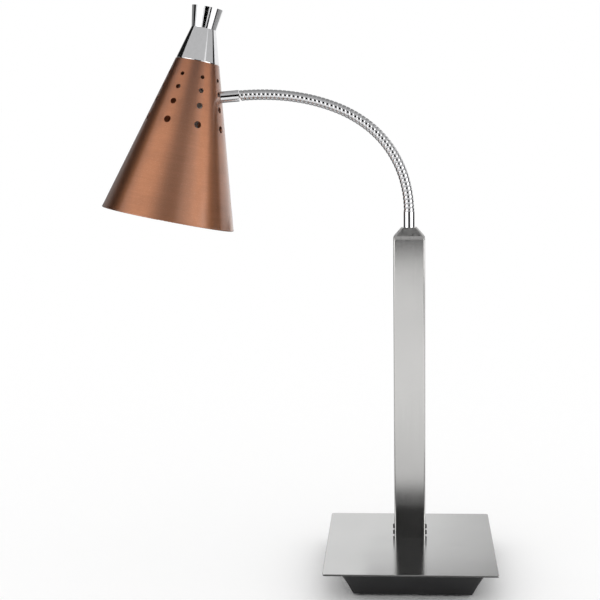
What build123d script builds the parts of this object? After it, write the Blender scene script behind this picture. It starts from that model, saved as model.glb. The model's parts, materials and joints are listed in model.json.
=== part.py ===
from build123d import *
import os
from math import atan, cos, degrees, radians, sin, tan

os.makedirs("parts", exist_ok=True)

# Heat lamp warmer with a gooseneck arm. Millimetres, +Z up, +X to the right, +Y to the back.
# Each piece is drawn about a point on the table under the base plate's centre, with the arm towards -X.
# Saving moves it all to the right by BASE_X, which puts the origin under the middle of the whole object.
BASE_X = 166.0

# Base: a plate over a tapered black tray, closed below by a cover on four feet
PLATE_W, PLATE_D, PLATE_T, PLATE_R = 250.0, 300.0, 2.5, 4.0
FOOT_H, FOOT_R, FOOT_X, FOOT_Y = 3.0, 9.0, 66.0, 90.0
COVER_T = 2.0
TRAY_H, TRAY_WALL = 38.0, 1.5
TRAY_INSET, TRAY_TAPER, TRAY_SHIFT = 17.5, 21.2, 3.5
FLANGE = 14.0
TRAY_CORNER = 10.0
BALLAST_W, BALLAST_D, BALLAST_H, BALLAST_Y, BALLAST_CUT = 140.0, 116.0, 26.0, -36.0, 16.0

# Post: a rectangular tube on an inner foot bracket, with a cast cap
POST_W, POST_D, POST_H, POST_WALL, POST_R, POST_Y = 47.0, 28.0, 456.5, 1.5, 2.5, 35.0
CAP_H, CAP_TOP_W, CAP_TOP_D = 17.5, 23.0, 18.0
CAP_GAP, CAP_RIM, CAP_SHOULDER, CAP_STEP = 0.8, 2.6, 5.6, 3.6
FOOT_SCREW_Z = (5.2, 14.5)
SWITCH_Z = 95.0

# Arm: a flexible neck of seven lengths, each bent to one arc, between two plain ferrules
NECK_R, NECK_BORE, LEAD_R = 7.8, 4.0, 2.75
NECK_LENGTH, NECK_GAP = 49.3, 2.6
NECK_TURNS = (16.4, 18.0, 18.5, 15.0, 10.3, 9.1, 7.0)
FERRULE_R, LOWER_FERRULE_L, UPPER_FERRULE_L = 8.1, 24.5, 26.0
PIPE_R, PIPE_BORE = 5.0, 3.5

# Head: a conical shade with a waisted finial, hung from the upper ferrule
SHADE_RIM_R, SHADE_TOP_R, SHADE_L, SHADE_T = 99.5, 32.7, 236.0, 1.0
SHADE_BEAD_R, SHADE_VENT_R = 1.5, 20.0
HEAD_DROP = 44.3
HEAD_ROLL = 5.0
HOLE_ROWS = ((22.6, 2.95), (42.3, 3.6), (64.5, 4.45), (92.0, 5.25))
HOLE_PHASE, HOLE_COLUMNS = -64.0, 8
FINIAL_BASE_R, FINIAL_WAIST_R, FINIAL_TOP_R = 32.0, 18.3, 23.3
FINIAL_WAIST_Z, FINIAL_TOP_Z, FINIAL_T, FINIAL_SEAM = 49.5, 80.3, 1.5, 0.9
HOLDER_TOP, HOLDER_L, HOLDER_R, HOLDER_BORE = -36.0, 45.0, 20.0, 14.0
BULB_FACE, BULB_NECK_R, BULB_T = -218.0, 17.5, 1.2
BULB_R = 65.8  # at the crown before it is rounded, which leaves 62.5

# Heights and angles that follow from the sizes above
TRAY_Z = FOOT_H + COVER_T
PLATE_Z = TRAY_Z + TRAY_H
PLATE_TOP = PLATE_Z + PLATE_T
POST_TOP = PLATE_TOP + POST_H
CAP_TOP = POST_TOP + CAP_H
NECK_Z = CAP_TOP + LOWER_FERRULE_L
TRAY_SLOPE = TRAY_TAPER / TRAY_H
TRAY_ANGLE = degrees(atan(TRAY_SLOPE))
SHADE_SLOPE = (SHADE_RIM_R - SHADE_TOP_R) / SHADE_L
SHADE_ANGLE = degrees(atan(SHADE_SLOPE))
HEAD_TILT = 90 + SHADE_ANGLE - sum(NECK_TURNS)


def disc(radius, low, high, x=0.0, y=0.0):
    """A round bar along Z between two heights."""
    return Pos(x, y, (low + high) / 2) * Cylinder(radius, high - low)


def ring(outer, inner, low, high, x=0.0, y=0.0):
    """A tube along Z between two heights."""
    return disc(outer, low, high, x, y) - disc(inner, low - 1, high + 1, x, y)


def hexagon(across_flats, low, high, x=0.0, y=0.0):
    """A hexagon bar along Z between two heights."""
    return Pos(x, y, low) * extrude(RegularPolygon(across_flats / 2, 6, major_radius=False), high - low)


def nut(across_flats, bore, low, high, x=0.0, y=0.0):
    return hexagon(across_flats, low, high, x, y) - disc(bore, low - 1, high + 1, x, y)


def slab(x_size, y_size, low, high, x=0.0, y=0.0, corner=0.0):
    """A plate or block between two heights, with rounded upright corners."""
    outline = RectangleRounded(x_size, y_size, corner) if corner else Rectangle(x_size, y_size)
    return Pos(x, y, low) * extrude(outline, high - low)


def countersunk(shank, head, low, high, x, y):
    """A countersunk screw pointing up, its flat head at the lower height."""
    cone = Pos(x, y, low + (head - shank) / 2) * Cone(head, shank, head - shank)
    return cone + disc(shank, low, high, x, y)


def corners(x_half, y_half, x=0.0, y=0.0):
    return [(x + sx * x_half, y + sy * y_half) for sx in (-1, 1) for sy in (-1, 1)]


def group(solids):
    """Separate identical pieces that share one node."""
    return Compound(children=list(solids))


def rounded_rod(points, radii, radius):
    """A round lead along straight runs joined by tangent arcs."""
    path = FilletPolyline(*points, radius=radii)
    start = path.location_at(0)
    return sweep(Plane(origin=start.position, z_dir=path.tangent_at(0)) * Circle(radius), path=path)


# Base

STUD_Y = PLATE_D / 2 - TRAY_INSET - 9
STUDS = corners(PLATE_W / 2 - TRAY_INSET - 9, 60, TRAY_SHIFT) + [
    (TRAY_SHIFT + x, y) for x in (-50, 50) for y in (-STUD_Y, STUD_Y)
]
COVER_SCREW_Y = PLATE_D / 2 - TRAY_INSET - TRAY_TAPER - 8
COVER_SCREWS = corners(PLATE_W / 2 - TRAY_INSET - TRAY_TAPER - 8, 84, TRAY_SHIFT) + [
    (TRAY_SHIFT, y) for y in (-COVER_SCREW_Y, COVER_SCREW_Y)
]
BALLAST_SCREWS = corners(46, 38, TRAY_SHIFT, BALLAST_Y)
FEET = corners(FOOT_X, FOOT_Y, TRAY_SHIFT)
BRACKET_BOLTS = [(-13.0, POST_Y), (13.0, POST_Y)]


def tray_outline(inset, corner):
    """The tray's outline at its top edge, drawn in by an inset."""
    x_size = PLATE_W - 2 * TRAY_INSET - 2 * inset
    y_size = PLATE_D - 2 * TRAY_INSET - 2 * inset
    return Pos(TRAY_SHIFT, 0, 0) * RectangleRounded(x_size, y_size, corner)


def base_plate():
    plate = slab(PLATE_W, PLATE_D, PLATE_Z, PLATE_TOP, corner=PLATE_R)
    plate = fillet(plate.edges().group_by(Axis.Z)[-1], 0.6)
    plate -= disc(6.5, PLATE_Z - 1, PLATE_TOP + 1, 0, POST_Y)
    for x, y in BRACKET_BOLTS:
        plate -= disc(2.5, PLATE_Z - 1, PLATE_TOP + 1, x, y)
    return plate


def base_tray():
    wall = TRAY_WALL / cos(radians(TRAY_ANGLE))
    outer = Pos(0, 0, PLATE_Z) * extrude(tray_outline(0, TRAY_CORNER), -TRAY_H, taper=TRAY_ANGLE)
    hollow = Pos(0, 0, PLATE_Z - TRAY_WALL) * tray_outline(wall + TRAY_WALL * TRAY_SLOPE, TRAY_CORNER - wall)
    cavity = extrude(hollow, -(TRAY_H - 2 * TRAY_WALL), taper=TRAY_ANGLE)
    tray = outer - cavity
    top_x = PLATE_W - 2 * TRAY_INSET - 2 * FLANGE - 6
    top_y = PLATE_D - 2 * TRAY_INSET - 2 * FLANGE - 6
    tray -= slab(top_x, top_y, PLATE_Z - 3, PLATE_Z + 1, TRAY_SHIFT, 0, 6)
    low_x = PLATE_W - 2 * (TRAY_INSET + TRAY_TAPER + FLANGE)
    low_y = PLATE_D - 2 * (TRAY_INSET + TRAY_TAPER + FLANGE)
    tray -= slab(low_x, low_y, TRAY_Z - 1, TRAY_Z + 3, TRAY_SHIFT, 0, 6)
    for x, y in STUDS:
        tray -= disc(2.1, PLATE_Z - 3, PLATE_Z + 1, x, y)
    for x, y in COVER_SCREWS:
        tray -= disc(2.0, TRAY_Z - 1, TRAY_Z + 3, x, y)
    return tray - gland_place() * disc(6.05, -6, 6)


def bottom_cover():
    outline = tray_outline(TRAY_TAPER + 0.6, 1.5)
    cover = Pos(0, 0, FOOT_H) * extrude(outline, COVER_T)
    for x, y in COVER_SCREWS:
        cover -= countersunk(2.0, 3.85, FOOT_H, TRAY_Z + 1, x, y)
    for x, y in BALLAST_SCREWS:
        cover -= countersunk(3.0, 4.9, FOOT_H, TRAY_Z + 1, x, y)
    for x, y in FEET:
        cover -= disc(3.0, FOOT_H - 1, TRAY_Z + 1, x, y)
    for x in (-10.0, 10.0):
        cover -= disc(1.5, FOOT_H - 1, TRAY_Z + 1, x, TERMINAL_Y)
    return cover


def cover_screws():
    return group(countersunk(1.95, 3.8, FOOT_H, TRAY_Z + 6, x, y) for x, y in COVER_SCREWS)


def rubber_feet():
    """Push-in feet: a pad below the cover and a barbed stem through it."""
    feet = []
    for x, y in FEET:
        barb = Pos(x, y, TRAY_Z + 2) * Cone(4.2, 2.4, 4)
        feet.append(disc(FOOT_R, 0, FOOT_H, x, y) + disc(3.0, FOOT_H, TRAY_Z, x, y) + barb)
    return group(feet)


def ballast_slab():
    """A cast iron block, its corners cut back to clear the feet."""
    block = slab(BALLAST_W, BALLAST_D, TRAY_Z, TRAY_Z + BALLAST_H, TRAY_SHIFT, BALLAST_Y)
    block = chamfer(block.edges().filter_by(Axis.Z), BALLAST_CUT)
    block = chamfer(block.edges().group_by(Axis.Z)[-1], 1.5)
    for x, y in BALLAST_SCREWS:
        block -= disc(3.0, TRAY_Z - 1, TRAY_Z + 12, x, y)
    return block


def ballast_screws():
    return group(countersunk(3.0, 4.9, FOOT_H, TRAY_Z + 11, x, y) for x, y in BALLAST_SCREWS)


def plate_studs():
    """Studs welded under the plate, which hold the tray's top flange."""
    return group(disc(2.0, PLATE_Z - 8, PLATE_Z, x, y) for x, y in STUDS)


def stud_nuts():
    top = PLATE_Z - TRAY_WALL
    return group(nut(7.0, 2.0, top - 3.2, top, x, y) for x, y in STUDS)


# Cord gland and terminals

GLAND_X, GLAND_Z, TERMINAL_Y = 40.0, 22.0, 84.0


def gland_place():
    """Where the gland sits: on the tray's sloping rear wall, its axis pointing out of it."""
    y = PLATE_D / 2 - TRAY_INSET - TRAY_SLOPE * (PLATE_Z - GLAND_Z)
    return Location((GLAND_X, y, GLAND_Z)) * Rot(-90 - TRAY_ANGLE, 0, 0)


def cord_gland():
    """A gland body through the wall with a domed clamping nut, bored for the cord."""
    hexes = extrude(RegularPolygon(7.5, 6, major_radius=False), 4.5)
    dome = Pos(0, 0, 4.5) * Cylinder(7.2, 9, align=(Align.CENTER, Align.CENTER, Align.MIN))
    dome = fillet(dome.edges().group_by(Axis.Z)[-1], 2.4)
    body = hexes + dome + disc(6.0, -8, 0)
    return gland_place() * (body - disc(3.6, -9, 15))


def gland_nut():
    return gland_place() * nut(15.0, 6.0, -TRAY_WALL - 4, -TRAY_WALL)


def terminal_block():
    """A moulded block with three ways, its screws sunk in towers, on two pegs in the cover."""
    block = slab(32, 18, TRAY_Z, TRAY_Z + 9, 0, TERMINAL_Y)
    for x in (-10.0, 10.0):
        block += disc(1.5, FOOT_H, TRAY_Z, x, TERMINAL_Y)
    for x in (-10.5, 0, 10.5):
        block += slab(8.5, 15, TRAY_Z + 9, TRAY_Z + 16, x, TERMINAL_Y, 1)
        for y in (-4, 4):
            block -= disc(1.9, TRAY_Z + 10, TRAY_Z + 17, x, TERMINAL_Y + y)
    block -= Pos(0, TERMINAL_Y - 9, TRAY_Z + 5) * Rot(90, 0, 0) * Cylinder(LEAD_R, 4)
    return block


def terminal_screws():
    screws = []
    for x in (-10.5, 0, 10.5):
        for y in (TERMINAL_Y - 4, TERMINAL_Y + 4):
            slot = slab(4, 0.6, TRAY_Z + 13.2, TRAY_Z + 15, x, y)
            screws.append(disc(1.9, TRAY_Z + 10, TRAY_Z + 14, x, y) - slot)
    return group(screws)


# Post


def post_tube():
    outline = RectangleRounded(POST_W, POST_D, POST_R)
    bore = RectangleRounded(POST_W - 2 * POST_WALL, POST_D - 2 * POST_WALL, POST_R - POST_WALL + 0.2)
    tube = Pos(0, POST_Y, PLATE_TOP) * extrude(outline - bore, POST_H)
    for height in FOOT_SCREW_Z:
        tube -= Pos(0, POST_Y, PLATE_TOP + height) * Rot(0, 90, 0) * Cylinder(2.0, POST_W + 2)
    cut_y = POST_Y + POST_D / 2
    return tube - Pos(0, cut_y, PLATE_TOP + SWITCH_Z) * Box(13.0, 6, 19.0)


def foot_bracket():
    """A U-shaped bracket inside the tube, bolted to the plate."""
    width, depth = POST_W - 2 * POST_WALL, POST_D - 2 * POST_WALL - 3
    bracket = slab(width, depth, PLATE_TOP, PLATE_TOP + 22, 0, POST_Y)
    bracket -= slab(width - 6, depth + 2, PLATE_TOP + 3, PLATE_TOP + 23, 0, POST_Y)
    bracket -= disc(6.5, PLATE_TOP - 1, PLATE_TOP + 4, 0, POST_Y)
    for x, y in BRACKET_BOLTS:
        bracket -= disc(2.5, PLATE_TOP - 1, PLATE_TOP + 4, x, y)
    for height in FOOT_SCREW_Z:
        bracket -= Pos(0, POST_Y, PLATE_TOP + height) * Rot(0, 90, 0) * Cylinder(2.0, width + 2)
    return bracket


def foot_bolts():
    bolts = []
    for x, y in BRACKET_BOLTS:
        head = hexagon(8.0, PLATE_TOP + 3, PLATE_TOP + 6.2, x, y)
        bolts.append(head + disc(2.5, PLATE_Z - 6, PLATE_TOP + 3, x, y))
    return group(bolts)


def foot_nuts():
    return group(nut(8.0, 2.5, PLATE_Z - 4, PLATE_Z, x, y) for x, y in BRACKET_BOLTS)


def foot_screws():
    """Button-head screws through the tube's side walls into the bracket."""
    screws = []
    for side in (-1, 1):
        for height in FOOT_SCREW_Z:
            place = Pos(side * POST_W / 2, POST_Y, PLATE_TOP + height) * Rot(0, side * 90, 0)
            head = Cylinder(3.6, 2.2, align=(Align.CENTER, Align.CENTER, Align.MIN))
            head = fillet(head.edges().group_by(Axis.Z)[-1], 1.2)
            socket = Pos(0, 0, 1.1) * extrude(RegularPolygon(1.25, 6, major_radius=False), 2)
            screws.append(place * (head - socket + disc(2.0, -5.0, 0.5)))
    return group(screws)


def plate_grommet():
    """A rubber bush that guards the lead where it passes the plate and the bracket."""
    low, high = PLATE_Z - 1.5, PLATE_TOP + 4.5
    bush = disc(6.5, PLATE_Z, PLATE_TOP + 3, 0, POST_Y)
    bush += disc(8.0, low, PLATE_Z, 0, POST_Y) + disc(7.6, PLATE_TOP + 3, high, 0, POST_Y)
    return bush - disc(3.2, low - 1, high + 1, 0, POST_Y)


def post_cap():
    """A cast cap: a plug in the tube, a shadow gap, a rim, a shoulder and four slopes to a small flat."""
    plug = slab(POST_W - 2 * POST_WALL, POST_D - 2 * POST_WALL, POST_TOP - 8, POST_TOP, 0, POST_Y, 1.2)
    gap = slab(POST_W - 2, POST_D - 2, POST_TOP, POST_TOP + CAP_GAP, 0, POST_Y, POST_R)
    rim = slab(POST_W, POST_D, POST_TOP + CAP_GAP, POST_TOP + CAP_RIM, 0, POST_Y, POST_R)
    rings = ((CAP_RIM, POST_W - 0.4, POST_D - 0.4), (CAP_SHOULDER, POST_W - CAP_STEP, POST_D - CAP_STEP),
             (CAP_H, CAP_TOP_W, CAP_TOP_D))
    sections = [Pos(0, POST_Y, POST_TOP + up) * RectangleRounded(x, y, POST_R) for up, x, y in rings]
    cap = plug + gap + rim + loft(sections, ruled=True)
    cap -= slab(POST_W - 13, POST_D - 9, POST_TOP - 9, POST_TOP + 4, 0, POST_Y, 1)
    cap -= slab(30, 15, POST_TOP - 9, POST_TOP + 8, 0, POST_Y, 1)
    return cap - disc(PIPE_R, POST_TOP, CAP_TOP + 1, 0, POST_Y)


def cap_pipe():
    """The threaded hollow pipe that joins the lower ferrule to the cap."""
    return ring(PIPE_R, PIPE_BORE, POST_TOP + 1, CAP_TOP + 12, 0, POST_Y)


def cap_washer():
    return ring(7.2, PIPE_R, POST_TOP + 7, POST_TOP + 8, 0, POST_Y)


def cap_nut():
    return nut(14.0, PIPE_R, POST_TOP + 4, POST_TOP + 7, 0, POST_Y)


def lower_ferrule():
    body = ring(FERRULE_R, PIPE_BORE, CAP_TOP, NECK_Z, 0, POST_Y)
    body -= disc(PIPE_R, CAP_TOP - 1, CAP_TOP + 12, 0, POST_Y)
    rims = body.edges().filter_by(GeomType.CIRCLE).filter_by(lambda e: e.radius > FERRULE_R - 0.1)
    return chamfer(rims, 0.4)


# Mains switch in the back of the post

SWITCH_Y = POST_Y + POST_D / 2
SWITCH_WORLD_Z = PLATE_TOP + SWITCH_Z
ROCKER_PIN_Y = SWITCH_Y - 1.8
ROCKER_THROW = 10.0


def switch_housing():
    """A snap-in housing with a bezel outside, open for the rocker."""
    bezel = Pos(0, SWITCH_Y + 1, SWITCH_WORLD_Z) * Box(16, 2, 22)
    bezel = chamfer(bezel.edges().group_by(Axis.Y)[-1], 0.6)
    body = Pos(0, SWITCH_Y - 8, SWITCH_WORLD_Z) * Box(12.9, 16, 18.9)
    housing = bezel + body
    housing -= Pos(0, SWITCH_Y - 2.5, SWITCH_WORLD_Z) * Box(9.4, 10, 16.4)
    pin = Rot(0, 90, 0) * Cylinder(1.05, 12)
    return housing - Pos(0, ROCKER_PIN_Y, SWITCH_WORLD_Z) * pin


def switch_rocker():
    """A rocker with a shallow V face, on two trunnions, its lower half pressed in."""
    face = make_face(Polyline((-1.6, -1.5), (-1.6, 1.5), (2.2, 7.2), (4.6, 7.0), (3.4, 0.0), (4.6, -7.0),
                              (2.2, -7.2), (-1.6, -1.5)))
    rocker = extrude(Plane.YZ * face, 4.4, both=True) + Rot(0, 90, 0) * Cylinder(1.0, 11.6)
    return Pos(0, ROCKER_PIN_Y, SWITCH_WORLD_Z) * Rot(-ROCKER_THROW, 0, 0) * rocker


def base_lead():
    """From the terminal block, over the cover and up the post to the switch."""
    entry = TRAY_Z + 5
    start_y, bend_y = TERMINAL_Y - 8, POST_Y + 18
    stop = SWITCH_WORLD_Z - 9.45
    points = [(0, start_y, entry), (0, bend_y, entry), (0, POST_Y, entry + 18), (0, POST_Y, stop - 46),
              (0, POST_Y + 5, stop - 22), (0, POST_Y + 5, stop)]
    return rounded_rod(points, [18, 18, 100, 100], LEAD_R)


def post_lead():
    """From the switch up the post and through the ferrule to the neck."""
    start = SWITCH_WORLD_Z + 9.45
    points = [
        (0, POST_Y + 5, start), (0, POST_Y + 5, start + 22), (0, POST_Y, start + 46), (0, POST_Y, NECK_Z)]
    return rounded_rod(points, [100, 100], LEAD_R)


# Neck


def neck_point(index, part=0.0):
    """Centre and heading of the neck, part of the way along one length. Heading 0 is up, 90 is -X."""
    x, z, heading = 0.0, NECK_Z, 0.0
    turns = [(turn, 1.0) for turn in NECK_TURNS[:index]]
    if part:
        turns.append((NECK_TURNS[index], part))
    for turn, share in turns:
        radius = NECK_LENGTH / radians(turn)
        new = heading + turn * share
        x -= radius * (cos(radians(heading)) - cos(radians(new)))
        z += radius * (sin(radians(new)) - sin(radians(heading)))
        heading = new
    return x, z, heading


def neck_arc(index, radius, bore):
    """One length of the neck as a bent tube, short of the pivot at each inner end."""
    half_gap = NECK_GAP / 2 / NECK_LENGTH
    first = half_gap if index else 0.0
    last = 1 - half_gap if index < len(NECK_TURNS) - 1 else 1.0
    x0, z0, start = neck_point(index, first)
    x1, z1, end = neck_point(index, last)
    tangent = Vector(-sin(radians(start)), 0, cos(radians(start)))
    path = TangentArc((x0, POST_Y, z0), (x1, POST_Y, z1), tangent=tangent)
    section = Circle(radius) - Circle(bore) if bore else Circle(radius)
    return sweep(Plane(origin=(x0, POST_Y, z0), z_dir=tangent) * section, path=path)


# Head, modelled upright about its own axis, with z = 0 at the shade's top edge

END_X, END_Z, END_HEADING = neck_point(len(NECK_TURNS))
ARM_OUT = Vector(-sin(radians(END_HEADING)), 0, cos(radians(END_HEADING)))
WALL_POINT = Vector(END_X, POST_Y, END_Z) + ARM_OUT * UPPER_FERRULE_L
WALL_R = SHADE_TOP_R + SHADE_SLOPE * HEAD_DROP


def head_plane():
    """The head's frame: square on the ferrule, then rolled about the ferrule's axis."""
    roll = Axis((0, 0, 0), ARM_OUT)
    x_dir = Vector(cos(radians(HEAD_TILT)), 0, -sin(radians(HEAD_TILT))).rotate(roll, HEAD_ROLL)
    z_dir = Vector(sin(radians(HEAD_TILT)), 0, cos(radians(HEAD_TILT))).rotate(roll, HEAD_ROLL)
    return Plane(origin=WALL_POINT - x_dir * WALL_R + z_dir * HEAD_DROP, x_dir=x_dir, z_dir=z_dir)


def wall_place():
    """The place on the shade's wall where the arm enters, in the head's frame; +Z points inwards."""
    return Location((WALL_R, 0, -HEAD_DROP)) * Rot(0, -90 - SHADE_ANGLE, 0)


def cone_solid(offset):
    """The shade's outer cone, drawn in by an offset."""
    shift = offset / cos(radians(SHADE_ANGLE))
    outline = Polyline((0, 10), (SHADE_TOP_R - shift - 10 * SHADE_SLOPE, 10),
                       (SHADE_RIM_R - shift + 10 * SHADE_SLOPE, -SHADE_L - 10), (0, -SHADE_L - 10), (0, 10))
    return revolve(Plane.XZ * make_face(outline), Axis.Z)


def shade():
    """A spun cone with a hemmed rim, an inward top flange and rows of vent holes."""
    wall = SHADE_T / cos(radians(SHADE_ANGLE))
    inner_top = SHADE_TOP_R - wall + 1.2 * SHADE_SLOPE
    outline = Polyline((SHADE_RIM_R, -SHADE_L), (SHADE_TOP_R, 0), (SHADE_VENT_R, 0), (SHADE_VENT_R, -1.2),
                       (inner_top, -1.2), (SHADE_RIM_R - wall, -SHADE_L), (SHADE_RIM_R, -SHADE_L))
    body = revolve(Plane.XZ * make_face(outline), Axis.Z)
    hem = Plane.XZ * Pos(SHADE_RIM_R - SHADE_BEAD_R, -SHADE_L + SHADE_BEAD_R * 0.6) * Circle(SHADE_BEAD_R)
    body += revolve(hem, Axis.Z)
    for drop, radius in HOLE_ROWS:
        wall_r = SHADE_TOP_R + SHADE_SLOPE * drop
        punch = Pos(wall_r, 0, -drop) * Rot(0, 90 - SHADE_ANGLE, 0) * Cylinder(radius, 12)
        for column in range(HOLE_COLUMNS):
            body -= Rot(0, 0, HOLE_PHASE + 360 / HOLE_COLUMNS * column) * punch
    for angle in (60, 180, 300):
        body -= Rot(0, 0, angle) * disc(1.6, -3, 2, 26)
    return body - wall_place() * disc(PIPE_R, -8, 8)


def finial():
    """A thin spun vent: a cone in to a narrow waist and a flare above it, open at the top."""
    slope_low = (FINIAL_BASE_R - FINIAL_WAIST_R) / FINIAL_WAIST_Z
    seam_r = FINIAL_BASE_R - FINIAL_SEAM
    outline = Polyline(
        (seam_r, 0), (seam_r, FINIAL_SEAM), (FINIAL_BASE_R, FINIAL_SEAM),
        (FINIAL_WAIST_R, FINIAL_WAIST_Z), (FINIAL_TOP_R, FINIAL_TOP_Z),
        (FINIAL_TOP_R - FINIAL_T, FINIAL_TOP_Z), (FINIAL_WAIST_R - FINIAL_T, FINIAL_WAIST_Z),
        (FINIAL_BASE_R - FINIAL_T - slope_low * 1.5, 1.5), (SHADE_VENT_R, 1.5), (SHADE_VENT_R, 0), (seam_r, 0))
    body = revolve(Plane.XZ * make_face(outline), Axis.Z)
    for angle in (60, 180, 300):
        body -= Rot(0, 0, angle) * disc(1.6, -1, 3, 26)
    return body


def finial_screws():
    screw = disc(1.5, -3.2, 5.5, 26) + disc(2.8, -3.2, -1.2, 26)
    return group(Rot(0, 0, angle) * screw for angle in (60, 180, 300))


def finial_nuts():
    return group(Rot(0, 0, a) * nut(5.5, 1.5, 1.5, 3.9, 26) for a in (60, 180, 300))


def upper_ferrule():
    """A plain ferrule from the neck to the shade, its end cut to the shade's curve."""
    length = UPPER_FERRULE_L
    body = disc(FERRULE_R + 0.5, -length, 3) - disc(PIPE_BORE, -length - 1, 4) - disc(PIPE_R, -11, 4)
    return wall_place() * body - cone_solid(0)


def head_pipe():
    return wall_place() * ring(PIPE_R, PIPE_BORE, -11, 11)


def saddle_washer():
    """A washer shaped to the inside of the cone, with a flat face for the bracket."""
    return wall_place() * ring(9.0, PIPE_R, 0.5, 4.2) & cone_solid(SHADE_T)


def head_nut():
    return wall_place() * nut(14.0, PIPE_R, 6.2, 9.7)


def holder_bracket():
    """A bent strip from the arm's pipe to the top of the lamp holder."""
    leg = wall_place() * (Pos(0, 0, 5.2) * Box(26, 24, 2) - disc(PIPE_R, 3, 7))
    shelf = slab(54, 24, HOLDER_TOP, HOLDER_TOP + 2, 10.6, 0, 3)
    leg_clear = Pos(0, 0, HOLDER_TOP + 2 + 20) * Box(200, 200, 40)
    for x in (-12, 12):
        shelf -= disc(2.1, HOLDER_TOP - 1, HOLDER_TOP + 3, x)
    return (leg - leg_clear) + shelf


def lamp_holder():
    """A ceramic holder for a screw-cap bulb."""
    low = HOLDER_TOP - HOLDER_L
    body = disc(HOLDER_R, low, HOLDER_TOP)
    body = fillet(body.edges().group_by(Axis.Z)[0], 2)
    body -= disc(HOLDER_BORE, low - 1, HOLDER_TOP - 12)
    body -= ring(HOLDER_R + 1, HOLDER_R - 1.2, low + 18, low + 22)
    for x in (-12, 12):
        body -= disc(2.0, HOLDER_TOP - 9, HOLDER_TOP + 1, x)
    return body - wall_place() * disc(LEAD_R, 20, 30)


def holder_screws():
    return group(disc(2.0, HOLDER_TOP - 8, HOLDER_TOP + 2, x) + disc(3.5, HOLDER_TOP + 2, HOLDER_TOP + 4.4, x)
                 for x in (-12, 12))


def holder_shell():
    """The rolled brass thread shell, drawn plain."""
    return ring(HOLDER_BORE, HOLDER_BORE - 0.5, HOLDER_TOP - 40, HOLDER_TOP - 14)


def holder_contact():
    spring = slab(20, 6, HOLDER_TOP - 13, HOLDER_TOP - 12)
    return spring + disc(3.2, HOLDER_TOP - 15, HOLDER_TOP - 13)


BULB_TOP = HOLDER_TOP - HOLDER_L - 1.0
BULB_SHOULDER, BULB_CROWN, BULB_CROWN_R = BULB_TOP - 32.0, -190.0, 14.0


def bulb_profile(inset):
    """The bulb's outline about its axis: neck, conical reflector and domed face, drawn in by an inset."""
    neck, wide = BULB_NECK_R - inset, BULB_R - inset
    top, face = BULB_TOP - inset, BULB_FACE + inset
    dome_r = (wide**2 + (BULB_CROWN - face)**2) / 2 / (BULB_CROWN - face)
    dome_x = wide * 0.6
    dome_z = face + dome_r - (dome_r**2 - dome_x**2)**0.5
    lines = Polyline((0, face), (0, top), (neck, top), (neck, BULB_SHOULDER), (wide, BULB_CROWN))
    outline = make_face(lines + ThreePointArc((wide, BULB_CROWN), (dome_x, dome_z), (0, face)))
    crown = outline.vertices().sort_by(Axis.X)[-1]
    return fillet(crown, BULB_CROWN_R - inset)


def bulb_glass():
    outer = revolve(Plane.XZ * bulb_profile(0), Axis.Z)
    return outer - revolve(Plane.XZ * bulb_profile(BULB_T), Axis.Z)


def bulb_cap():
    """The bulb's screw cap, a running fit in the holder's shell, with its end contact."""
    top = HOLDER_TOP - 17
    return disc(HOLDER_BORE - 0.8, BULB_TOP, top) + disc(4.0, top, HOLDER_TOP - 15)


def head_lead():
    """From the neck, through the ferrule and pipe, into the lamp holder."""
    return wall_place() * disc(LEAD_R, -UPPER_FERRULE_L, 27)


BASE_PARTS = (base_plate, base_tray, bottom_cover, cover_screws, rubber_feet, ballast_slab, ballast_screws,
              plate_studs, stud_nuts, cord_gland, gland_nut, terminal_block, terminal_screws, post_tube,
              foot_bracket, foot_bolts, foot_nuts, foot_screws, plate_grommet, post_cap, cap_pipe, cap_washer,
              cap_nut, lower_ferrule, switch_housing, switch_rocker, base_lead, post_lead)
HEAD_PARTS = (shade, finial, finial_screws, finial_nuts, upper_ferrule, head_pipe, saddle_washer, head_nut,
              holder_bracket, lamp_holder, holder_screws, holder_shell, holder_contact, bulb_glass, bulb_cap,
              head_lead)


def save(shape, name):
    export_step(Pos(BASE_X, 0, 0) * shape, f"parts/{name}.step")


for make in BASE_PARTS:
    save(make(), make.__name__)
for number in range(len(NECK_TURNS)):
    save(neck_arc(number, NECK_R, NECK_BORE), f"neck_{number + 1}")
    save(neck_arc(number, LEAD_R, 0), f"neck_lead_{number + 1}")
for make in HEAD_PARTS:
    save(head_plane().location * make(), make.__name__)
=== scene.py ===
import json
from math import atan, cos, degrees, pi, radians, sin

import bpy
from mathutils import Matrix, Vector


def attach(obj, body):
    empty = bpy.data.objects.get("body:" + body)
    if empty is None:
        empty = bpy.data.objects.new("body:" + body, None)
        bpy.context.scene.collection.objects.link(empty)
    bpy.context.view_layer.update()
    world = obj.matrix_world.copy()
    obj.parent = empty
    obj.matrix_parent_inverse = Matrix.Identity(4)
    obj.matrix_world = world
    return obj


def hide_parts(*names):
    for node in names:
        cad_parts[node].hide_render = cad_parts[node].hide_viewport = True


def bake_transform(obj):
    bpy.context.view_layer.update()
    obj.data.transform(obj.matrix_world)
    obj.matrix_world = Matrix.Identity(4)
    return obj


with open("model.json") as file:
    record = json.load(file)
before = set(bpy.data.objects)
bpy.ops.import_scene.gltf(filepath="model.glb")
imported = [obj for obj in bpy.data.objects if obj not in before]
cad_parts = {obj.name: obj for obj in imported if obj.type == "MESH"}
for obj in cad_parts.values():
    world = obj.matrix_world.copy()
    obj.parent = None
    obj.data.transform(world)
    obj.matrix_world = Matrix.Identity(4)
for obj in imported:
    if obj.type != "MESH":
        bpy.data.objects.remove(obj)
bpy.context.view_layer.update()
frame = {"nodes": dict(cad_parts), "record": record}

scene = bpy.context.scene
MM = 0.001
BASE_X = 166.0 * MM
SENSOR, LENS = 36, 89.4
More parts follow.
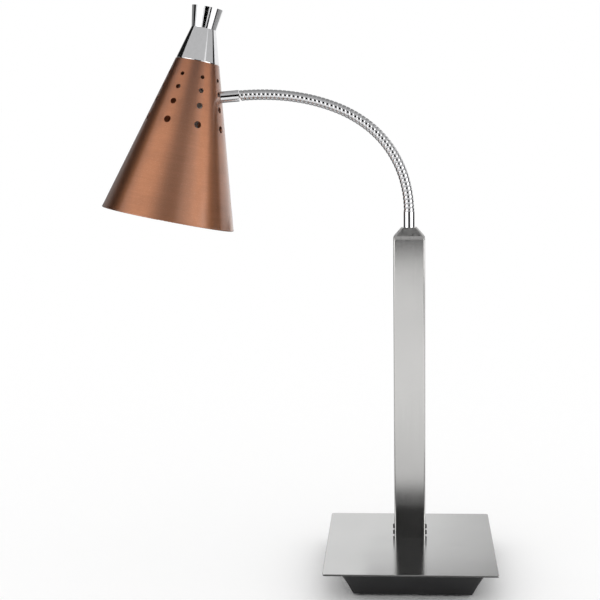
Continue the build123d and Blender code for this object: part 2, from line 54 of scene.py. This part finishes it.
CAMERA_AT = Vector((BASE_X - 5.9 * MM, -2176.3 * MM, 747.1 * MM))
YAW, PITCH, ROLL = radians(4.0886), radians(8.6239), radians(-0.7957)

# The arm and head, with the same sizes as the CAD source

NECK_START = Vector((BASE_X, 35 * MM, 544 * MM))
NECK_LENGTH = 49.3 * MM
NECK_TURNS = (16.4, 18.0, 18.5, 15.0, 10.3, 9.1, 7.0)
NECK_R = 7.8 * MM
SHADE_TOP_R, SHADE_RIM_R, SHADE_L, HEAD_DROP = 32.7 * MM, 99.5 * MM, 236 * MM, 44.3 * MM
FERRULE_L, HEAD_ROLL = 26 * MM, 5.0
SLOPE = (SHADE_RIM_R - SHADE_TOP_R) / SHADE_L
RIB_PITCH, RIB_DEPTH, RIB_POWER = 6.4 * MM, 0.8 * MM, 4
RIB_ROWS, RIB_SIDES = 12, 40
END_INSET, BLEND_INSET = 0.6 * MM, 3 * MM


def neck_at(s):
    """Centre and heading (degrees from straight up towards -X) at a distance along the neck."""
    x, z, heading = NECK_START.x, NECK_START.z, 0.0
    for turn in NECK_TURNS:
        run = min(max(s, 0.0), NECK_LENGTH)
        radius = NECK_LENGTH / radians(turn)
        new = heading + turn * run / NECK_LENGTH
        x -= radius * (cos(radians(heading)) - cos(radians(new)))
        z += radius * (sin(radians(new)) - sin(radians(heading)))
        heading = new
        s -= run
    return Vector((x, NECK_START.y, z)), heading


end, end_heading = neck_at(NECK_LENGTH * len(NECK_TURNS))
arm_out = Vector((-sin(radians(end_heading)), 0, cos(radians(end_heading))))
wall_point = end + arm_out * FERRULE_L
tilt = radians(90 + degrees(atan(SLOPE)) - sum(NECK_TURNS))
roll = Matrix.Rotation(radians(HEAD_ROLL), 3, arm_out)
head_x = roll @ Vector((cos(tilt), 0, -sin(tilt)))
head_z = roll @ Vector((sin(tilt), 0, cos(tilt)))
head_y = head_z.cross(head_x)
head_origin = wall_point - head_x * (SHADE_TOP_R + SLOPE * HEAD_DROP) + head_z * HEAD_DROP
head_turn = Matrix((head_x, head_y, head_z)).transposed()


# Shader helpers


class Net:
    """A material's node tree, with short calls to add and join nodes."""

    def __init__(self, name):
        self.mat = bpy.data.materials.new(name)
        self.mat.use_nodes = True
        self.tree = self.mat.node_tree
        self.tree.nodes.clear()
        self.out = self.tree.nodes.new("ShaderNodeOutputMaterial")
        self.bsdf = self.tree.nodes.new("ShaderNodeBsdfPrincipled")
        self.tree.links.new(self.bsdf.outputs[0], self.out.inputs[0])

    def add(self, kind, inputs=None, **fields):
        node = self.tree.nodes.new("ShaderNode" + kind)
        for key, value in fields.items():
            setattr(node, key, value)
        for key, value in (inputs or {}).items():
            if isinstance(value, bpy.types.NodeSocket):
                self.tree.links.new(value, node.inputs[key])
            else:
                node.inputs[key].default_value = value
        return node

    def put(self, **sockets):
        for key, value in sockets.items():
            name = key.replace("_", " ").title().replace("Ior", "IOR")
            if isinstance(value, bpy.types.NodeSocket):
                self.tree.links.new(value, self.bsdf.inputs[name])
            else:
                self.bsdf.inputs[name].default_value = value

    def place(self, location=(0, 0, 0), rotation=(0, 0, 0)):
        """Object coordinates, measured from a place and turn of the object's own."""
        coord = self.add("TexCoord")
        return self.add("Mapping", {"Vector": coord.outputs["Object"], "Location": location,
                                    "Rotation": rotation}, vector_type="TEXTURE").outputs[0]

    def stretch(self, vector, scale):
        return self.add("VectorMath", {0: vector, 1: scale}, operation="MULTIPLY").outputs[0]

    def ringed(self, ring, along, round_scale, along_scale):
        """Coordinates that change slowly round an axis and fast along it."""
        x, y = (self.math("MULTIPLY", ring.outputs[axis], round_scale) for axis in (0, 1))
        return self.add("CombineXYZ", {0: x, 1: y, 2: self.math("MULTIPLY", along, along_scale)}).outputs[0]

    def noise(self, vector, scale=1.0, detail=3.0, rough=0.5, distort=0.0):
        return self.add("TexNoise", {"Vector": vector, "Scale": scale, "Detail": detail,
                                     "Roughness": rough, "Distortion": distort}).outputs["Fac"]

    def span(self, value, low, high, start=0.0, stop=1.0):
        return self.add("MapRange", {"Value": value, "From Min": start, "From Max": stop,
                                     "To Min": low, "To Max": high}).outputs[0]

    def mix(self, factor, a, b):
        node = self.add("Mix", {0: factor}, data_type="RGBA")
        for socket, value in ((node.inputs[6], a), (node.inputs[7], b)):
            if isinstance(value, bpy.types.NodeSocket):
                self.tree.links.new(value, socket)
            else:
                socket.default_value = (*value, 1)
        return node.outputs[2]

    def ramp(self, value, *stops):
        """A grey that goes through the given (place, brightness) stops."""
        node = self.add("ValToRGB", {0: value})
        points = node.color_ramp.elements
        while len(points) < len(stops):
            points.new(0.5)
        for point, (at, level) in zip(points, stops):
            point.position = at
            point.color = (level, level, level, 1)
        return node.outputs[0]

    def math(self, operation, a, b=0.0):
        return self.add("Math", {0: a, 1: b}, operation=operation).outputs[0]

    def bump(self, height, distance, strength=1.0):
        return self.add("Bump", {"Height": height, "Distance": distance, "Strength": strength}).outputs[0]

    def tangent(self, vector):
        """A direction in the object's own frame, for the blurred way of a brushed finish."""
        turned = self.add("VectorTransform", {0: vector}, vector_type="VECTOR",
                          convert_from="OBJECT", convert_to="WORLD")
        self.tree.links.new(turned.outputs[0], self.bsdf.inputs["Tangent"])


def brushed(name, colour, rough, scale, blur, anisotropic=0.6, shade=0.08, depth=0.02, swing=0.06):
    """Satin metal: fine scratches stretched by scale, with slow cloudy changes over them."""
    net = Net(name)
    here = net.place()
    lines = net.noise(net.stretch(here, scale), 1.0, 3.0, 0.6)
    cloud = net.noise(here, 14.0, 3.0, 0.5)
    worn = net.mix(net.span(lines, 0, 1, 0.3, 0.7), [c * (1 - shade) for c in colour], colour)
    base = net.mix(net.span(cloud, 0, 0.35, 0.35, 0.7), worn, [c * 0.9 for c in colour])
    scored = net.span(lines, rough - swing, rough + swing, 0.3, 0.7)
    rougher = net.math("ADD", scored, net.span(cloud, 0, 0.04))
    net.put(base_color=base, metallic=1.0, roughness=rougher, anisotropic=anisotropic,
            normal=net.bump(lines, depth * MM, 0.4))
    net.tangent(blur)
    return net.mat


def chrome(name, colour=(0.80, 0.80, 0.81), rough=0.05, scale=160.0):
    """Bright plate: clean, with faint polishing haze and fine pin marks."""
    net = Net(name)
    here = net.place()
    haze = net.noise(here, scale, 4.0, 0.55)
    marks = net.noise(here, scale * 9, 2.0, 0.6)
    tint = net.mix(net.span(haze, 0, 0.5, 0.4, 0.7), colour, [c * 0.92 for c in colour])
    net.put(base_color=tint, metallic=1.0, roughness=net.span(haze, rough, rough + 0.05, 0.35, 0.7),
            normal=net.bump(marks, 0.004 * MM, 0.3))
    return net.mat


def plastic(name, colour, rough=0.45, grain=900.0, depth=0.03):
    """A plain moulded, coated or rubbery skin: fine grain over slow changes of tone."""
    net = Net(name)
    here = net.place()
    fine = net.noise(here, grain, 3.0, 0.6)
    slow = net.noise(here, 30.0, 2.0, 0.5)
    low, high = [c * 0.85 for c in colour], [min(1, c * 1.1) for c in colour]
    tone = net.mix(net.span(slow, 0, 1, 0.35, 0.7), low, high)
    net.put(base_color=tone, roughness=net.span(fine, rough - 0.06, rough + 0.08, 0.3, 0.7),
            normal=net.bump(fine, depth * MM, 0.5))
    return net.mat


def copper_material():
    """Spun copper: circles of fine brushing about the shade's axis, a slow patina, and painted shade that
    darkens it towards the top.
    """
    net = Net("spun_copper")
    local = net.place(head_origin, head_turn.to_euler())
    parts = net.add("SeparateXYZ", {0: local})
    flat = net.add("CombineXYZ", {0: parts.outputs[0], 1: parts.outputs[1]}).outputs[0]
    around = net.add("VectorMath", {0: flat}, operation="NORMALIZE").outputs[0]
    ring = net.add("SeparateXYZ", {0: around})
    scratches = net.noise(net.ringed(ring, parts.outputs[2], 5.0, 2600.0), 1.0, 3.0, 0.6)
    bands = net.noise(net.ringed(ring, parts.outputs[2], 1.6, 260.0), 1.0, 3.0, 0.55)
    patina = net.noise(local, 22.0, 4.0, 0.6, 0.3)
    speckle = net.noise(local, 700.0, 2.0, 0.6)
    light, deep = (0.60, 0.245, 0.115), (0.50, 0.20, 0.09)
    base = net.mix(net.span(scratches, 0, 1, 0.3, 0.7), deep, light)
    base = net.mix(net.span(bands, 0, 0.35, 0.4, 0.7), base, (0.45, 0.18, 0.08))
    base = net.mix(net.span(patina, 0, 0.35, 0.45, 0.7), base, (0.43, 0.18, 0.085))
    base = net.mix(net.span(speckle, 0, 0.25, 0.55, 0.75), base, (0.80, 0.45, 0.28))
    # painted shade: the copper is darkened towards the top of the shade, where its reflections are dimmer
    height = net.span(parts.outputs[2], 1.0, 0.0, -120 * MM, 0.0)
    base = net.mix(height, net.mix(0.55, base, (0.24, 0.075, 0.03)), base)
    scored = net.span(scratches, 0.42, 0.52, 0.3, 0.7)
    rough = net.math("ADD", scored, net.span(patina, 0.0, 0.05, 0.4, 0.7))
    net.put(base_color=base, metallic=1.0, roughness=rough, anisotropic=0.92, coat_weight=1.0,
            coat_ior=1.65, coat_roughness=0.2, normal=net.bump(scratches, 0.02 * MM, 0.5))
    net.tangent(tuple(head_z))
    return net.mat


def glass_material():
    """Frosted lamp glass, half clear, with fine grain and a slow drift of tone."""
    net = Net("frosted_lamp")
    here = net.place(head_origin, head_turn.to_euler())
    frost = net.noise(here, 1400.0, 3.0, 0.6)
    drift = net.noise(here, 40.0, 2.0, 0.5)
    tone = net.mix(net.span(drift, 0, 1, 0.3, 0.7), (0.86, 0.85, 0.82), (0.93, 0.92, 0.90))
    net.put(base_color=tone, roughness=net.span(frost, 0.25, 0.4, 0.3, 0.7), transmission_weight=0.45,
            normal=net.bump(frost, 0.02 * MM, 0.4))
    return net.mat


ACROSS = (0.707, 0.707, 0)
materials = {
    "post_steel": brushed("post_satin", (0.62, 0.615, 0.605), 0.13, (900, 900, 3), ACROSS,
                          0.7, 0.05, 0.008, 0.03),
    "plate_steel": brushed("plate_satin", (0.64, 0.64, 0.635), 0.18, (4, 900, 900), (0, 1, 0),
                           0.6, 0.06, 0.008, 0.03),
    "cap_metal": brushed("cap_satin", (0.52, 0.515, 0.505), 0.30, (300, 300, 300), ACROSS,
                         0.2, 0.06, 0.02),
    "bracket_steel": brushed("bracket_zinc", (0.60, 0.60, 0.62), 0.38, (60, 900, 200), (1, 0, 0), 0.3),
    "screw_steel": brushed("screw_zinc", (0.58, 0.58, 0.60), 0.30, (700, 700, 700), (1, 0, 0), 0.2),
    "bright_chrome": chrome("bright_chrome"),
    "neck_chrome": chrome("neck_chrome", (0.68, 0.68, 0.69), 0.12, 300.0),
    "black_screw": plastic("black_oxide", (0.015, 0.015, 0.016), 0.35, 1200.0, 0.02),
    "tray_black": plastic("tray_powder_coat", (0.012, 0.012, 0.013), 0.42, 1500.0, 0.05),
    "iron": plastic("cast_iron_skin", (0.05, 0.05, 0.055), 0.65, 350.0, 0.25),
    "black_plastic": plastic("black_nylon", (0.02, 0.02, 0.021), 0.4),
    "white_plastic": plastic("white_nylon", (0.78, 0.77, 0.74), 0.42),
    "foot_rubber": plastic("foot_rubber", (0.025, 0.025, 0.025), 0.7, 500.0, 0.06),
    "lead_silicone": plastic("lead_silicone", (0.72, 0.70, 0.65), 0.7, 500.0, 0.06),
    "copper": copper_material(),
    "ceramic": plastic("holder_ceramic", (0.82, 0.80, 0.74), 0.18, 300.0, 0.03),
    "brass": brushed("brass_turned", (0.70, 0.52, 0.24), 0.28, (900, 900, 900), (1, 0, 0), 0.2),
    "bulb_glass": glass_material(),
}
slots = {part["node"]: part["material_slot"] for part in frame["record"]["subparts"]}
for node, piece in frame["nodes"].items():
    for index in range(len(piece.material_slots)):
        piece.material_slots[index].material = materials[slots[node]]


# The flexible neck: one helical ribbed tube, cut into lengths, the first going with the base and the last
# with the head


def neck_ribs():
    """Points and (row, face) pairs of a tube whose rows follow a screw line, so that its ribs do too."""
    profile = [-RIB_DEPTH * abs(2 * row / RIB_ROWS - 1) ** RIB_POWER for row in range(RIB_ROWS)]
    total = NECK_LENGTH * len(NECK_TURNS)
    rows = int(total / RIB_PITCH * RIB_ROWS) + RIB_ROWS + 1
    points = []
    for row in range(rows):
        for column in range(RIB_SIDES):
            s = (row - RIB_ROWS + RIB_ROWS * column / RIB_SIDES) / RIB_ROWS * RIB_PITCH
            inside = 0 < s < total
            s = min(max(s, 0.0), total)
            centre, heading = neck_at(s)
            side = Vector((cos(radians(heading)), 0, sin(radians(heading))))
            radius = NECK_R + (profile[row % RIB_ROWS] if inside else -END_INSET)
            angle = 2 * pi * column / RIB_SIDES
            points.append(centre + (side * cos(angle) + Vector((0, 1, 0)) * sin(angle)) * radius)
    faces = []
    for row in range(rows - RIB_ROWS - 1):
        for column in range(RIB_SIDES):
            here = row * RIB_SIDES + column
            # the last column closes on the first one a whole turn further on
            beside = here + 1 if column < RIB_SIDES - 1 else (row + RIB_ROWS) * RIB_SIDES
            faces.append((row, (here, beside, beside + RIB_SIDES, here + RIB_SIDES)))
    return points, faces


def rib_piece(index, low, high):
    """The part of the ribbed tube between two distances along the neck."""
    row_step = RIB_PITCH / RIB_ROWS
    first = low / row_step + RIB_ROWS if index else -1
    chosen = [face for row, face in neck_faces if first <= row < high / row_step + RIB_ROWS]
    used = sorted({v for face in chosen for v in face})
    order = {v: i for i, v in enumerate(used)}
    mesh = bpy.data.meshes.new(f"neck_ribs_{index}")
    mesh.from_pydata([neck_points[v] for v in used], [], [[order[v] for v in face] for face in chosen])
    mesh.shade_smooth()
    mesh.materials.append(materials["neck_chrome"])
    piece = bpy.data.objects.new(f"neck_ribs_{index}", mesh)
    scene.collection.objects.link(piece)
    return piece


neck_points, neck_faces = neck_ribs()
neck_bodies = ["base"] + [f"arm_{i}" for i in range(2, 7)] + ["head"]
last = len(neck_bodies)
past_end = 1.0
cuts = [0] + [NECK_LENGTH * (i + 0.5) for i in range(last)] + [past_end]
for index in range(last + 1):
    piece = rib_piece(index, cuts[index], cuts[index + 1])
    if index in (0, last):
        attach(piece, neck_bodies[min(index, last - 1)])
    else:
        neck_at(cuts[index] + BLEND_INSET)[0]
        neck_at(cuts[index + 1] - BLEND_INSET)[0]
        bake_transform(piece)
    if index < last:
        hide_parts(f"neck_{index + 1}")

# Floor and light

FLOOR = 30
mesh = bpy.data.meshes.new("floor")
mesh.from_pydata([(-FLOOR, -FLOOR, 0), (FLOOR, -FLOOR, 0), (FLOOR, FLOOR, 0), (-FLOOR, FLOOR, 0)],
                 [], [(0, 1, 2, 3)])
floor = bpy.data.objects.new("floor", mesh)
scene.collection.objects.link(floor)
floor_net = Net("floor_paper")
floor_net.put(base_color=(1, 1, 1, 1), roughness=0.9, specular_ior_level=0.0)
mesh.materials.append(floor_net.mat)

world = bpy.data.worlds.new("studio")
scene.world = world
world.use_nodes = True
world.node_tree.nodes["Background"].inputs[0].default_value = (1, 1, 1, 1)
world.node_tree.nodes["Background"].inputs[1].default_value = 1.0


def card(name, points, tone, faces=((0, 1, 2, 3),)):
    """A card that only reflections see. The tone is a brightness, where 1 is the room's white, or
    a fade: an axis, the two places along it where it starts and ends, and its stops."""
    sheet = bpy.data.meshes.new(name)
    sheet.from_pydata(points, [], faces)
    net = Net(name)
    net.tree.nodes.remove(net.bsdf)
    glow = net.add("Emission", {"Strength": 1.0})
    if isinstance(tone, tuple):
        axis, first, last, stops = tone
        where = net.add("SeparateXYZ", {0: net.add("TexCoord").outputs["Object"]}).outputs[axis]
        net.tree.links.new(net.ramp(net.span(where, 0, 1, first, last), *stops), glow.inputs[0])
    else:
        glow.inputs[0].default_value = (tone, tone, tone, 1)
    net.tree.links.new(glow.outputs[0], net.out.inputs[0])
    sheet.materials.append(net.mat)
    board = bpy.data.objects.new(name, sheet)
    scene.collection.objects.link(board)
    board.visible_camera = board.visible_diffuse = False
    board.visible_shadow = board.visible_transmission = False


def arc(name, first, last, inner, outer, tone):
    """A curved card about the head, between two azimuths (0 towards -Y, positive to the right)
    and two edges, each a distance and a height."""
    count = max(2, int((last - first) / ARC_STEP))
    points = []
    for step in range(count + 1):
        turn = radians(first + (last - first) * step / count)
        for away, height in (inner, outer):
            points.append((head_origin.x + sin(turn) * away, head_origin.y - cos(turn) * away, height))
    card(name, points, tone, [(2 * k, 2 * k + 2, 2 * k + 3, 2 * k + 1) for k in range(count)])


def upright(low, high, y):
    return [(low[0], y, low[1]), (high[0], y, low[1]), (high[0], y, high[1]), (low[0], y, high[1])]


def flat(low, high, z):
    return [(low[0], low[1], z), (high[0], low[1], z), (high[0], high[1], z), (low[0], high[1], z)]


SKIN = 0.002    # how far a card on the floor stands off it
ARC_STEP = 6    # degrees of a curved card in each of its flat pieces
ROOM, ROOF, EAVES = 3, 5, 2.6
TABLE_NEAR, TABLE_FAR = -1.2, -0.16

# Bands that show in the finial, the ferrules and the shade
card("flag_front", upright((-0.9, 0.06), (1.65, 2.7), -3.5), 0.0)
arc("lane_front", 12, 38, (2.6, SKIN), (3.5, SKIN), 0.0)
arc("lane_lit", 38, 78, (1.2, SKIN), (3.5, SKIN), 1.35)
arc("flag_left", -112, -88, (ROOM, 0.0), (ROOM, 2.8), 0.01)
arc("flag_left_high", -150, -112, (ROOM, 1.5), (ROOM, 2.8), 0.01)
arc("flag_left_back", -168, -112, (ROOM, 0.0), (ROOM, 1.5), 0.25)
arc("flag_right", 104, 118, (ROOM, 0.0), (ROOM, 2.0), 0.03)
arc("flag_right_low", 84, 104, (ROOM, 0.0), (ROOM, 1.35), 0.02)
arc("lane_left", -112, -88, (0.5, SKIN), (ROOM, SKIN), 0.03)
arc("lane_right", 80, 118, (1.2, SKIN), (3.2, SKIN), 0.06)
arc("softbox_left", -70, -26, (2.9, 0.1), (2.9, 2.2), 2.0)
arc("softbox_right", 46, 78, (2.9, 0.1), (2.9, 1.28), 3.0)
card("flag_ferrule_left", upright((-0.6, 0.25), (-0.09, 0.52), 0.35), 0.02)
card("flag_ferrule_right", upright((0.09, 0.25), (0.6, 0.52), 0.35), 0.02)

# The grey of a room above and behind
arc("high_front", -100, 60, (3.6, 2.7), (EAVES, ROOF), 0.58)
arc("high_right", 60, 107, (3.4, 1.3), (EAVES, ROOF), 0.55)
card("ceiling", flat((-ROOM, -ROOM), (ROOM, -0.6), ROOF), 0.45)
card("high_back", [(-ROOM, -0.6, ROOF), (ROOM, -0.6, ROOF), (ROOM, 4.2, EAVES), (-ROOM, 4.2, EAVES)], 0.34)
card("floor_back", flat((-2.5, 0.14), (2.5, 3.8), SKIN), 0.4)

# Slow fades in the post and the plate
# painted shadow: a card that only reflections see, dark on the table near the base, stands for the base's
# shadow there in the post and the plate
card("table_shadow_card", flat((-0.6, TABLE_NEAR), (0.8, TABLE_FAR), SKIN),
     (1, TABLE_NEAR, TABLE_FAR, ((0.0, 1.0), (0.55, 0.85), (0.70, 0.8), (0.81, 0.15), (1.0, 0.0))))
card("backdrop_fall", upright((-0.4, 0.6), (0.75, 2.6), 4.0),
     (0, -0.35, 0.62, ((0.0, 1.0), (0.3, 0.97), (0.55, 0.95), (1.0, 0.62))))

# Camera

forward = Vector((-sin(YAW) * cos(PITCH), cos(YAW) * cos(PITCH), -sin(PITCH)))
level = Vector((cos(YAW), sin(YAW), 0))
upward = level.cross(forward)
right = level * cos(ROLL) + upward * sin(ROLL)
above = upward * cos(ROLL) - level * sin(ROLL)
data = bpy.data.cameras.new("camera")
data.sensor_width, data.lens = SENSOR, LENS
camera = bpy.data.objects.new("camera", data)
turn = Matrix((right, above, -forward)).transposed().to_4x4()
camera.matrix_world = Matrix.Translation(CAMERA_AT) @ turn
scene.collection.objects.link(camera)
scene.camera = camera
scene.view_settings.view_transform = "Standard"
